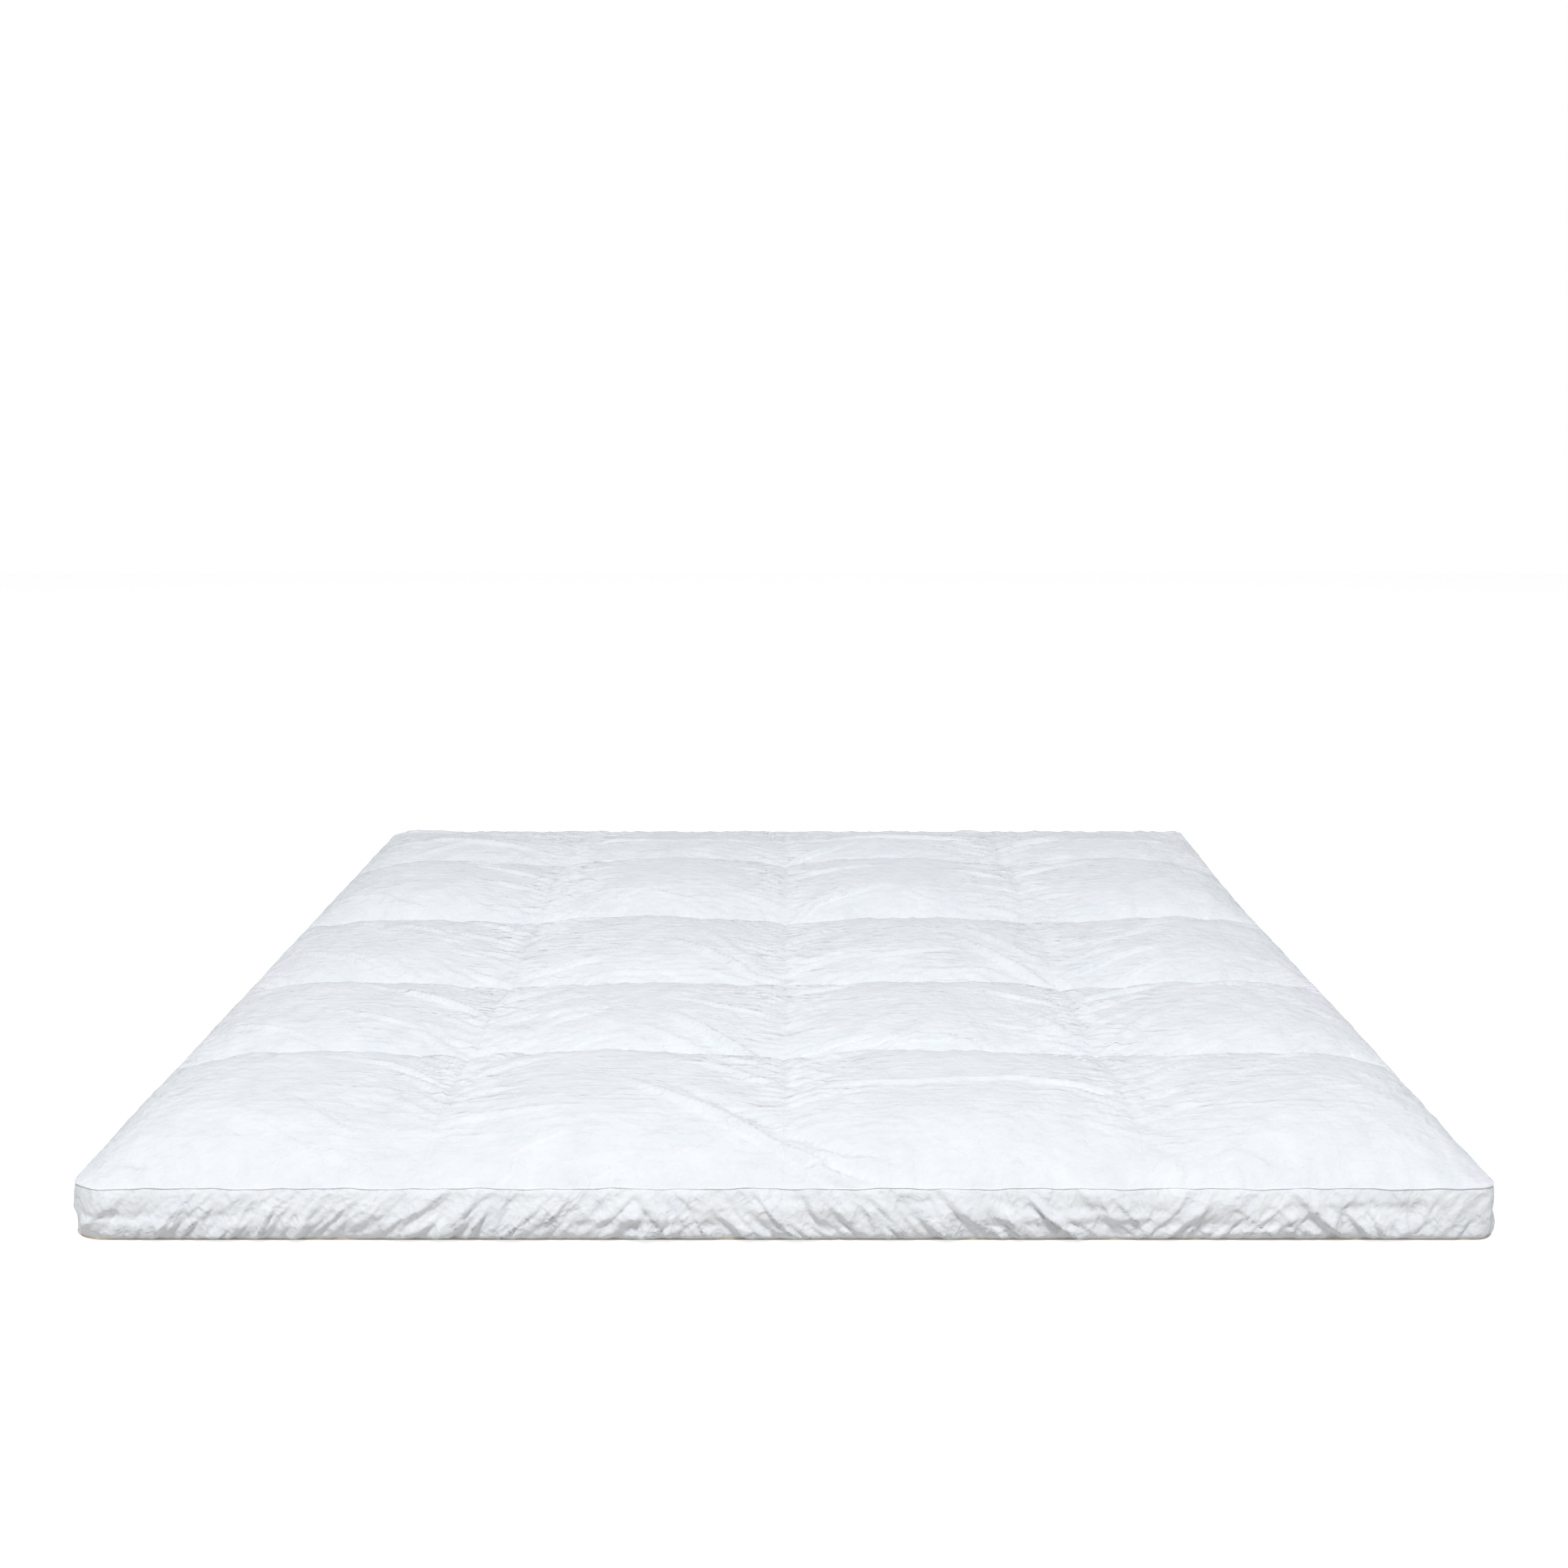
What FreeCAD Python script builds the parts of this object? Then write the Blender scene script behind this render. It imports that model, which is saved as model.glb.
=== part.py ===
"""Feather-filled futon mattress: a boxed ticking in baffled chambers, one feather fill in each.

Millimetres. +Z is up, X runs across the bed and Y along it. The origin lies on the floor under the
middle of the mattress. Row 1 is at the foot end (-Y) and column 1 at the left (-X).

The ticking is a top panel and a bottom panel joined by four gusset strips, mitred at the corners,
with a thin corded piping in both edge seams. Inside, upright baffles divide it into chambers. The
top panel is quilted down along the baffles and crowns up over the feathers in every chamber.
"""

import FreeCAD
import Part
import Sketcher
import os

from FreeCAD import Placement, Rotation, Vector

SIZES = {
    "width": 1600.0,  # across the bed, between the edge seams
    "length": 2000.0,  # along the bed, between the edge seams
    "columns": 4,
    "rows": 5,
    "gusset_height": 60.0,  # between the two panels
    "gusset_bulge": 6.0,  # how far the feathers push a gusset out past its seams
    "corner_radius": 20.0,  # of the edge seam, in plan
    "crown_rise": 48.0,  # of the top panel over a chamber
    "quilt_margin": 4.0,  # from a quilted seam to the crowns beside it
    "edge_margin": 8.0,  # from the edge seam to the crowns beside it
    "ticking": 0.5,  # thickness of the down-proof cotton
    "baffle_cloth": 0.4,  # thickness of the light cotton inside
    "seam_flange": 1.0,  # how far both panels reach past the edge seam, to the piping
    "piping_radius": 1.5,
    "piping_cloth": 0.4,  # the bias strip round the cord
    "piping_gap": 0.1,  # round the piping and round the cord inside it
    "quilt_thread": 0.4,  # width and height of a line of quilting stitches
    "ease": 0.3,  # between a fill or a baffle's end and the cloth beside it
    "headroom": 1.0,  # between a fill's top and the top panel
}
START, END, CENTRE = 1, 2, 3  # the sketcher's numbers for the points of an edge,
X_AXIS, Y_AXIS = -1, -2  # and for a sketch's own axes

SEAM_Z = "( ticking + gusset_height )"  # the top panel's underside along its seams
COLUMN_PITCH = "( width / columns )"
ROW_PITCH = "( length / rows )"
BULGE_RADIUS = "( ( gusset_height ^ 2 / 4 + gusset_bulge ^ 2 ) / ( 2 * gusset_bulge ) )"
CORE_INSET = "( corner_radius / 2 )"  # how far the bulged rim reaches in from the edge seam
CORE_LAP = 1.0  # how far the block inside the rim reaches out into it, so the two fuse

doc = FreeCAD.newDocument("futon_mattress")
sheet = doc.addObject("Spreadsheet::Sheet", "sizes")
for cell, (alias, number) in enumerate(SIZES.items(), start=1):
    sheet.set(f"A{cell}", alias)
    sheet.set(f"B{cell}", str(number))
    sheet.setAlias(f"B{cell}", alias)
doc.recompute()

COLUMNS = range(1, int(sheet.get("columns")) + 1)
ROWS = range(1, int(sheet.get("rows")) + 1)


def size(alias):
    """A driving dimension, read from the sheet."""
    return float(sheet.get(alias))


def bind(thing, path, formula):
    """Binds a property to a formula, whose words are aliases, numbers and signs."""
    words = [f"sizes.{word}" if word in SIZES else word for word in formula.split()]
    thing.setExpression(path, " ".join(words))


# --- Building blocks ------------------------------------------------------------------------------


def new_body(name):
    body = doc.addObject("PartDesign::Body", name)
    body.Label = name
    return body


def new_sketch(body, name, role):
    """A sketch on one of the body's own origin planes."""
    sketch = body.newObject("Sketcher::SketchObject", name)
    plane = next(item for item in body.Origin.OriginFeatures if item.Role == role)
    sketch.AttachmentSupport = (plane, [""])
    sketch.MapMode = "FlatFace"
    return sketch


def constrain(sketch, kind, *places):
    return sketch.addConstraint(Sketcher.Constraint(kind, *places))


def dimension(sketch, formula, kind, *places):
    """A driving dimension of a sketch: the places end with the value it is drawn at."""
    bind(sketch, f"Constraints[{constrain(sketch, kind, *places)}]", formula)


def box(name, length, width, height, x, y, z):
    """A box by its sides and its low corner, all formulas."""
    solid = doc.addObject("Part::Box", name)
    for side, formula in (("Length", length), ("Width", width), ("Height", height)):
        bind(solid, side, formula)
    for axis, formula in (("x", x), ("y", y), ("z", z)):
        bind(solid, f".Placement.Base.{axis}", formula)
    return solid


def boolean(kind, name, base, tool):
    """A Part::Common or Part::Cut of two objects."""
    solid = doc.addObject(f"Part::{kind}", name)
    solid.Base = base
    solid.Tool = tool
    return solid


def draw_outline(sketch, offset, reach):
    """The edge seam's outline, a rectangle with round corners, moved outwards by an offset.

    The offset is a formula and the reach its value. The outline runs anticlockwise from the
    front edge's left end.
    """
    half_x, half_y = size("width") / 2 + reach, size("length") / 2 + reach
    radius = size("corner_radius") + reach
    flat_x, flat_y = half_x - radius, half_y - radius
    skew = radius / 2**0.5
    turns = [(1, -1), (1, 1), (-1, 1), (-1, -1)]
    edges = []
    for turn, (right, back) in enumerate(turns):
        on_y = Vector(right * flat_x, back * half_y, 0)
        on_x = Vector(right * half_x, back * flat_y, 0)
        enter, leave = (on_y, on_x) if turn % 2 == 0 else (on_x, on_y)
        middle = Vector(right * (flat_x + skew), back * (flat_y + skew), 0)
        before = Vector(-flat_x, -half_y, 0) if turn == 0 else last
        edges.append(sketch.addGeometry(Part.LineSegment(before, enter), False))
        edges.append(sketch.addGeometry(Part.Arc(enter, middle, leave), False))
        last = leave
    for edge, following in zip(edges, edges[1:] + edges[:1]):
        constrain(sketch, "Tangent", edge, END, following, START)
    front, right, back, left = edges[0::2]
    corners = edges[1::2]
    constrain(sketch, "Horizontal", back)
    constrain(sketch, "Vertical", left)
    constrain(sketch, "Symmetric", front, START, front, END, Y_AXIS)
    constrain(sketch, "Symmetric", right, START, right, END, X_AXIS)
    for corner in corners[1:]:
        constrain(sketch, "Equal", corners[0], corner)
    dimension(sketch, f"corner_radius + {offset}", "Radius", corners[0], radius)
    dimension(sketch, f"width / 2 + {offset}", "DistanceX", X_AXIS, START, right, START, half_x)
    dimension(sketch, f"length / 2 + {offset}", "DistanceY", X_AXIS, START, back, START, half_y)


def draw_rim(sketch, inset, depth):
    """Half of the boxed edge in section: level at both seams and bulged between them.

    The inset, a formula whose value is the depth, lies between the gusset's outer face and this
    one. The section stands at the front edge, so its bulge points to -Y.
    """
    low, high = size("ticking"), size("ticking") + size("gusset_height")
    rise, bulge = size("gusset_height") / 2, size("gusset_bulge")
    full = (rise**2 + bulge**2) / (2 * bulge)
    radius = full - depth
    centre_y = -(size("length") / 2 + bulge - full)
    seam_y = centre_y - (radius**2 - rise**2) ** 0.5
    inner_y = -(size("length") / 2 - size("corner_radius") / 2)
    top, bottom = Vector(seam_y, high, 0), Vector(seam_y, low, 0)
    inner_top, inner_bottom = Vector(inner_y, high, 0), Vector(inner_y, low, 0)
    middle = Vector(centre_y - radius, (low + high) / 2, 0)
    arc = sketch.addGeometry(Part.Arc(top, middle, bottom), False)
    base = sketch.addGeometry(Part.LineSegment(bottom, inner_bottom), False)
    side = sketch.addGeometry(Part.LineSegment(inner_bottom, inner_top), False)
    lid = sketch.addGeometry(Part.LineSegment(inner_top, top), False)
    edges = [arc, base, side, lid]
    for edge, following in zip(edges, edges[1:] + edges[:1]):
        constrain(sketch, "Coincident", edge, END, following, START)
    constrain(sketch, "Horizontal", base)
    constrain(sketch, "Horizontal", lid)
    constrain(sketch, "Vertical", side)
    centre = f"length / 2 + gusset_bulge - {BULGE_RADIUS}"
    dimension(sketch, f"{BULGE_RADIUS} - {inset}", "Radius", arc, radius)
    dimension(sketch, centre, "DistanceX", arc, CENTRE, X_AXIS, START, -centre_y)
    middle_z = (low + high) / 2
    dimension(sketch, "ticking + gusset_height / 2", "DistanceY", X_AXIS, START, arc, CENTRE, middle_z)
    dimension(sketch, "ticking", "DistanceY", X_AXIS, START, base, START, low)
    dimension(sketch, SEAM_Z, "DistanceY", X_AXIS, START, lid, START, high)
    dimension(sketch, f"length / 2 - {CORE_INSET}", "DistanceX", side, START, X_AXIS, START, -inner_y)


def edge_path(body, offset, reach):
    """The outline as a path, and a sketch square across its start, at the front edge's left end."""
    path = new_sketch(body, f"{body.Name}_path", "XY_Plane")
    draw_outline(path, offset, reach)
    section = new_sketch(body, f"{body.Name}_section", "YZ_Plane")
    bind(section, ".AttachmentOffset.Base.z", "corner_radius - width / 2")
    return path, section


def sweep(body, kind, section, path):
    """An AdditivePipe or SubtractivePipe all round a path."""
    doc.recompute()
    pipe = body.newObject(f"PartDesign::{kind}", f"{body.Name}_{kind}")
    pipe.Profile = section
    pipe.Spine = (path, [""])
    doc.recompute()
    return pipe


def slab(name, offset, reach, thickness, z):
    """A flat slab with the edge seam's outline, moved outwards by an offset."""
    body = new_body(name)
    sketch = new_sketch(body, f"{name}_outline", "XY_Plane")
    draw_outline(sketch, offset, reach)
    bind(sketch, ".AttachmentOffset.Base.z", z)
    pad = body.newObject("PartDesign::Pad", f"{name}_pad")
    pad.Profile = sketch
    bind(pad, "Length", thickness)
    return body


def boxed_core(name, inset, depth):
    """The whole space between the two panels, inset from the gusset's outer face."""
    block = slab(f"{name}_block", f"{CORE_LAP} - {CORE_INSET}", CORE_LAP - size("corner_radius") / 2,
                 "gusset_height", "ticking")
    rim = new_body(f"{name}_rim")
    path, section = edge_path(rim, "0", 0)
    draw_rim(section, inset, depth)
    sweep(rim, "AdditivePipe", section, path)
    core = doc.addObject("Part::MultiFuse", name)
    core.Shapes = [block, rim]
    return core


# --- Chambers -------------------------------------------------------------------------------------


def seam_positions(pitch, count, overall):
    """Formulas for the seam lines across one direction, from the first edge seam to the last."""
    return [f"{step} * {pitch} - {overall} / 2" for step in range(int(size(count)) + 1)]


COLUMN_SEAMS = seam_positions(COLUMN_PITCH, "columns", "width")
ROW_SEAMS = seam_positions(ROW_PITCH, "rows", "length")


def crown_span(place, count, overall, inset):
    """Where a chamber's crown starts and ends in one direction: clear of its seams by their margins."""
    pitch = size(overall) / size(count)
    low = (place - 1) * pitch - size(overall) / 2
    high = low + pitch
    low += size("edge_margin" if place == 1 else "quilt_margin") + inset
    high -= size("edge_margin" if place == size(count) else "quilt_margin") + inset
    return low, high


def crown(row, column, inset):
    """A solid crown over one chamber: flat below and domed above, straight along its four sides."""
    low_x, high_x = crown_span(column, "columns", "width", inset)
    low_y, high_y = crown_span(row, "rows", "length", inset)
    dome = Part.BezierSurface()
    dome.increase(2, 2)
    pole_rise = 4 * size("crown_rise")  # a middle pole lifts the dome's middle by a quarter of itself
    for along_x, x in enumerate((low_x, (low_x + high_x) / 2, high_x), start=1):
        for along_y, y in enumerate((low_y, (low_y + high_y) / 2, high_y), start=1):
            rise = pole_rise if along_x == along_y == 2 else 0
            dome.setPole(along_x, along_y, Vector(x, y, rise))
    top = dome.toShape()
    base = Part.Face(Part.Wire(Part.__sortEdges__(top.Edges)))
    shell = Part.Shell([top, base])
    shell.sewShape()
    return Part.Solid(shell)


def crowns_at(name, chambers, inset, z):
    """The crowns of some chambers as one feature, with their flat side at a height."""
    feature = doc.addObject("Part::Feature", name)
    solids = [crown(row, column, inset) for row, column in chambers]
    feature.Shape = solids[0] if len(solids) == 1 else Part.makeCompound(solids)
    bind(feature, ".Placement.Base.z", z)
    return feature


# --- Ticking --------------------------------------------------------------------------------------


def make_bottom_panel():
    return [slab("bottom_panel", "seam_flange", size("seam_flange"), "ticking", "0")]


def make_top_panel():
    """A flat sheet with a crown raised over every chamber, hollowed by the same crowns one sheet lower."""
    flat = slab("top_panel_flat", "seam_flange", size("seam_flange"), "ticking", SEAM_Z)
    chambers = [(row, column) for row in ROWS for column in COLUMNS]
    raised = doc.addObject("Part::MultiFuse", "top_panel_raised")
    raised.Shapes = [flat, crowns_at("crowns_over_panel", chambers, 0, f"{SEAM_Z} + ticking")]
    hollows = crowns_at("crowns_under_panel", chambers, 0, SEAM_Z)
    return [boolean("Cut", "top_panel", raised, hollows)]


def make_gussets():
    """Four bulged strips, cut from one bulged ring along the corners' mitres."""
    ring = boolean("Cut", "gusset_ring", boxed_core("ticking_space", "0", 0),
                   boxed_core("ticking_hollow", "ticking", size("ticking")))
    sides = (("gusset_front", "width", "length", 0), ("gusset_right", "length", "width", 90),
             ("gusset_back", "width", "length", 180), ("gusset_left", "length", "width", 270))
    return [make_gusset(ring, *side) for side in sides]


def make_gusset(ring, name, along, across, turn):
    """The stretch of the ring on one side, turned from the front about the middle of the bed."""
    wedge = doc.addObject("Part::Wedge", f"{name}_mitre")
    reach = "2 * gusset_bulge"  # the wedge's outer side is clear of the bulge, its inner side of the core
    limits = {"Xmin": f"0 - {along} / 2 - {reach}", "Xmax": f"{along} / 2 + {reach}",
              "X2min": f"{CORE_INSET} - {along} / 2", "X2max": f"{along} / 2 - {CORE_INSET}",
              "Ymin": f"0 - {across} / 2 - {reach}", "Ymax": f"{CORE_INSET} - {across} / 2",
              "Zmin": "0", "Zmax": f"{SEAM_Z} + ticking",
              "Z2min": "0", "Z2max": f"{SEAM_Z} + ticking"}
    for side, formula in limits.items():
        bind(wedge, side, formula)
    wedge.Placement = Placement(Vector(), Rotation(Vector(0, 0, 1), turn))
    return boolean("Common", name, ring, wedge)


def make_piping(name, height):
    """A corded piping round one edge seam: the bias strip, and the cord inside it."""
    offset = "seam_flange + piping_gap + piping_radius"
    reach = size("seam_flange") + size("piping_gap") + size("piping_radius")
    strip, cord = new_body(name), new_body(f"{name}_cord")
    draw_ring(strip, "AdditivePipe", offset, reach, height, "piping_radius")
    draw_ring(strip, "SubtractivePipe", offset, reach, height, "piping_radius - piping_cloth")
    draw_ring(cord, "AdditivePipe", offset, reach, height, "piping_radius - piping_cloth - piping_gap")
    return [strip, cord]


def draw_ring(body, kind, offset, reach, height, radius):
    """A round bar along the piping's line, added to the body or taken out of it."""
    path, section = edge_path(body, offset, reach)
    bind(path, ".AttachmentOffset.Base.z", height)
    circle = section.addGeometry(Part.Circle(Vector(), Vector(0, 0, 1), size("piping_radius")), False)
    edge = size("length") / 2 + reach
    dimension(section, f"length / 2 + {offset}", "DistanceX", circle, CENTRE, X_AXIS, START, edge)
    dimension(section, height, "DistanceY", X_AXIS, START, circle, CENTRE, size("piping_radius"))
    dimension(section, radius, "Radius", circle, size("piping_radius"))
    sweep(body, kind, section, path)


def make_quilting_thread():
    """The lines of stitches that hold the top panel down to the baffles."""
    z, across = f"{SEAM_Z} + ticking", "quilt_thread"
    long = [box(f"stitches_along_{column}", across, "length - 2 * edge_margin", across,
                f"{COLUMN_SEAMS[column]} - {across} / 2", "edge_margin - length / 2", z)
            for column in COLUMNS[:-1]]
    short = [box(f"stitches_across_{row}_{column}", f"{COLUMN_PITCH} - 2 * edge_margin", across, across,
                 f"{COLUMN_SEAMS[column - 1]} + edge_margin", f"{ROW_SEAMS[row]} - {across} / 2", z)
             for row in ROWS[:-1] for column in COLUMNS]
    thread = doc.addObject("Part::Compound", "quilting_thread")
    thread.Links = long + short
    return [thread]


# --- Inside ---------------------------------------------------------------------------------------


def make_baffles(core):
    """Upright strips on the seam lines: one piece along each column seam, short ones between them."""
    half = "baffle_cloth / 2"
    baffles = []
    for column in COLUMNS[:-1]:
        strip = box(f"column_strip_{column}", "baffle_cloth", "length + 2 * gusset_bulge", "gusset_height",
                    f"{COLUMN_SEAMS[column]} - {half}", "0 - length / 2 - gusset_bulge", "ticking")
        baffles.append(boolean("Common", f"column_baffle_{column}", strip, core))
    for row in ROWS[:-1]:
        for column in COLUMNS:
            low, span = chamber_span(column, COLUMNS, COLUMN_SEAMS, COLUMN_PITCH, half)
            strip = box(f"row_strip_{row}_{column}", span, "baffle_cloth", "gusset_height",
                        low, f"{ROW_SEAMS[row]} - {half}", "ticking")
            baffles.append(boolean("Common", f"row_baffle_{row}_{column}", strip, core))
    return baffles


def chamber_span(place, places, seams, pitch, clear):
    """Where a chamber's room starts and how long it is: clear of a baffle, or past the gusset."""
    at_low, at_high = place == places[0], place == places[-1]
    start = f"{seams[place - 1]} " + ("- gusset_bulge" if at_low else f"+ {clear}")
    before = "gusset_bulge" if at_low else f"0 - {clear}"
    after = "gusset_bulge" if at_high else f"0 - {clear}"
    return start, f"{pitch} + ( {before} ) + ( {after} )"


def make_fills(core):
    """One feather fill in each chamber: a block up to the seams, with a crown on it."""
    clear = "( baffle_cloth / 2 + ease )"
    fills = []
    for row in ROWS:
        for column in COLUMNS:
            place = f"{row}_{column}"
            x, along_x = chamber_span(column, COLUMNS, COLUMN_SEAMS, COLUMN_PITCH, clear)
            y, along_y = chamber_span(row, ROWS, ROW_SEAMS, ROW_PITCH, clear)
            room = box(f"room_{place}", along_x, along_y, "gusset_height - ease - headroom",
                       x, y, "ticking + ease")
            fill = doc.addObject("Part::MultiFuse", f"feather_fill_{place}")
            block = boolean("Common", f"block_{place}", room, core)
            dome = crowns_at(f"crown_{place}", [(row, column)], size("ease"), f"{SEAM_Z} - headroom")
            fill.Shapes = [block, dome]
            fills.append(fill)
    return fills


# --- Build and write ------------------------------------------------------------------------------


def check(parts):
    """Stops on a feature that failed, or a sub-part without one valid shape."""
    for thing in doc.Objects:
        if {"Invalid", "Error"} & set(thing.State):
            raise RuntimeError(f"{thing.Label} failed: {thing.State}")
    for part in parts:
        if part.Shape.isNull() or not part.Shape.isValid() or not part.Shape.Solids:
            raise RuntimeError(f"{part.Label} has no valid solid")


def main():
    core = boxed_core("filled_space", "( ticking + ease )", size("ticking") + size("ease"))
    parts = make_bottom_panel() + make_top_panel() + make_gussets()
    parts += make_piping("top_piping", f"{SEAM_Z} + ticking / 2")
    parts += make_piping("bottom_piping", "piping_radius + piping_gap")
    parts += make_quilting_thread() + make_baffles(core) + make_fills(core)
    doc.recompute()
    check(parts)
    os.makedirs("parts", exist_ok=True)
    for part in parts:
        part.Shape.exportStep(f"parts/{part.Label}.step")
    print(f"{len(parts)} sub-parts written")


main()
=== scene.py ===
import math

import bpy
import numpy as np
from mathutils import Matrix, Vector


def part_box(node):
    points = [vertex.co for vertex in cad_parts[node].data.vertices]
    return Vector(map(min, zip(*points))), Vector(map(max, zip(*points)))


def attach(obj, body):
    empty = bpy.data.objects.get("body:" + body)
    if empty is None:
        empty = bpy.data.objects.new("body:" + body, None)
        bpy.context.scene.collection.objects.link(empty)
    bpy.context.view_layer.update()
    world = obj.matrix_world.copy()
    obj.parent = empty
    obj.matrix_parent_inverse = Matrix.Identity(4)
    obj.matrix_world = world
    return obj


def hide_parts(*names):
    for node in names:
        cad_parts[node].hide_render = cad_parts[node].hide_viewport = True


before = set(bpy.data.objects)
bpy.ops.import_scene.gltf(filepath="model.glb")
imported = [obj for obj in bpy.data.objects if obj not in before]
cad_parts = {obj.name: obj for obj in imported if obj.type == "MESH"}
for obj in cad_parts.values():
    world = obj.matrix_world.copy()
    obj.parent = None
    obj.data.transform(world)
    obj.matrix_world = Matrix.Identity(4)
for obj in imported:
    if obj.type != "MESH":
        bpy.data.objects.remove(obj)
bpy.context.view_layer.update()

# ---- Top panel --------------------------------------------------------------------------------------
# One piece of white down-proof cambric, a dense plain-weave cotton with a soft calendered face.
# It is cut longer and wider than the bed, quilted down to the baffles in 4 chambers across and 5 along,
# and sewn to the gussets all round. The feathers puff it up, and its spare cloth gathers at the seams.

FLANGE = 0.001  # seam allowance that the CAD's panel has outside the seam line
TICKING = 0.0005  # thickness of the cloth
panel_low, panel_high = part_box("top_panel")
half_width, half_length = panel_high.x - FLANGE, panel_high.y - FLANGE
edge_height = panel_low.z + TICKING


def middle(node, axis):
    """The middle of a node's box along one axis."""
    low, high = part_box(node)
    return (low[axis] + high[axis]) / 2


# The quilting lines stand over the baffles. The outer columns spread a little further apart, and most
# row seams drift a little towards the head end.
COLUMN_SPREAD = 1.02
ROW_DRIFT = (0.024, 0.0, 0.003, 0.012)
columns = [middle(f"column_baffle_{n}", 0) * COLUMN_SPREAD for n in (1, 2, 3)]
columns = np.array([-half_width, *columns, half_width])
rows = [middle(f"row_baffle_{n + 1}_1", 1) + off for n, off in enumerate(ROW_DRIFT)]
rows = np.array([-half_length, *rows, half_length])

# How high each chamber puffs above the edge seam, how high the column seams ride between chambers, and
# where the row seams lie, in millimetres, from the foot end to the head end.
CREST = np.array([(55, 57, 56, 53), (40, 41, 41, 39), (38, 42, 40, 38), (50, 55, 56, 51), (34, 36, 37, 36)])
SADDLE = np.array([(38, 40, 38), (22, 24, 22), (20, 22, 20), (34, 36, 34), (24, 26, 24)])
ROW_SEAM = -6.0

ACROSS, ALONG = 56, 84  # mesh cells in each chamber; finer along the bed, where gathers follow closely
CORNER = {(-1, -1): 0.038, (1, -1): 0.024, (1, 1): 0.016, (-1, 1): 0.040}  # plan radius of each corner


def drift(rng, u, v, size, amount):
    """Smooth random values over (u, v), in patches of the given size."""
    lattice = rng.uniform(-1, 1, (int(np.ptp(v) / size) + 3, int(np.ptp(u) / size) + 3))
    a, b = (u - u.min()) / size, (v - v.min()) / size
    i, j = a.astype(int), b.astype(int)
    a, b = a - i, b - j
    a, b = a * a * (3 - 2 * a), b * b * (3 - 2 * b)
    near = lattice[j, i] * (1 - a) + lattice[j, i + 1] * a
    far = lattice[j + 1, i] * (1 - a) + lattice[j + 1, i + 1] * a
    return amount * (near * (1 - b) + far * b)


def along(x, knots, values):
    """A smooth line through evenly spread values."""
    at = np.interp(x, knots, range(len(knots)))
    i = np.minimum(at.astype(int), len(knots) - 2)
    f = at - i
    f = f * f * (3 - 2 * f)
    values = np.asarray(values, float)
    return values[i] * (1 - f) + values[i + 1] * f


u, v = np.meshgrid(np.arange(4 * ACROSS + 1) / ACROSS, np.arange(5 * ALONG + 1) / ALONG)
on_seam = (np.abs(u - np.round(u)) < 1e-6) | (np.abs(v - np.round(v)) < 1e-6)
row, column = np.clip(v.astype(int), 0, 4), np.clip(u.astype(int), 0, 3)
in_x, in_y = u - column, v - row
from_side = np.minimum(u, 4 - u)
from_end = np.minimum(v, 5 - v)
inner = np.clip(6 * np.minimum(from_side, from_end), 0, 1)  # 0 at the edge seams, 1 further in


def puffed():
    """The shape that the feathers push the panel towards, above the edge seam."""
    left = np.where(column > 0, SADDLE[row, np.clip(column - 1, 0, 2)], 0)
    right = np.where(column < 3, SADDLE[row, np.clip(column, 0, 2)], 0)
    saddle = left * (1 - in_x) + right * in_x
    steep = np.clip(1 - np.abs(2 * in_x - 1) ** 2.4, 0, 1) ** 0.85
    outer = ((column == 0) & (in_x < 0.5)) | ((column == 3) & (in_x > 0.5))
    dome = np.where(outer, steep, np.sin(np.pi * in_x) ** 0.9)
    ridge = saddle + (CREST[row, column] - saddle) * dome
    # Each row is a rounded tube. The first stays full up to its seam, and the last slopes down to the
    # head end.
    tube = np.clip(1 - np.abs(2 * in_y - 1) ** 3, 0, 1) ** 0.8
    front = np.clip(v, 0, 1) ** 0.85
    front_rise = np.sin(np.pi * np.clip(front, 0, 0.5)) ** 0.9
    front_fall = np.clip(1 - np.abs(2 * front - 1) ** 5, 0, 1) ** 0.7
    tube = np.where(v < 1, np.where(front < 0.5, front_rise, front_fall), tube)
    tube = np.where((v > 4) & (in_y > 0.38), np.clip((5 - v) / 0.62, 0, 1) * 1.02, tube)
    seam = np.interp(v, range(6), [0, ROW_SEAM, ROW_SEAM, ROW_SEAM, ROW_SEAM, 0])
    seam = seam * np.clip(8 * from_side, 0, 1)
    return (seam + (ridge - seam) * tube) / 1000


rng = np.random.default_rng(5)
x, y = np.interp(u, range(5), columns), np.interp(v, range(6), rows)
z = edge_height + puffed() + (drift(rng, u, v, 0.35, 0.003) + drift(rng, u, v, 0.16, 0.0015)) * inner
x = x + drift(rng, u, v, 0.3, 0.004) * inner
y = y + (drift(rng, u, v, 0.3, 0.004) + drift(rng, u, v, 0.13, 0.003)) * inner


def flare(x, y):
    """How far the right side stands out towards the head end, and in near the foot end."""
    out = 0.018 * np.clip((y - 0.35) / 0.6, 0, 1) ** 1.2 - 0.003 * np.clip((-0.5 - y) / 0.15, 0, 1)
    return np.clip(x / half_width, 0, 1) ** 3 * out


def edge_wave(x, y):
    """How the sewn edge rises and dips along its length."""
    slow = 0.0006 * np.sin(39 * x + 17 * y + 1) + 0.0005 * np.sin(83 * x - 61 * y)
    return slow + 0.0003 * np.sin(170 * x + 9)


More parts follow.
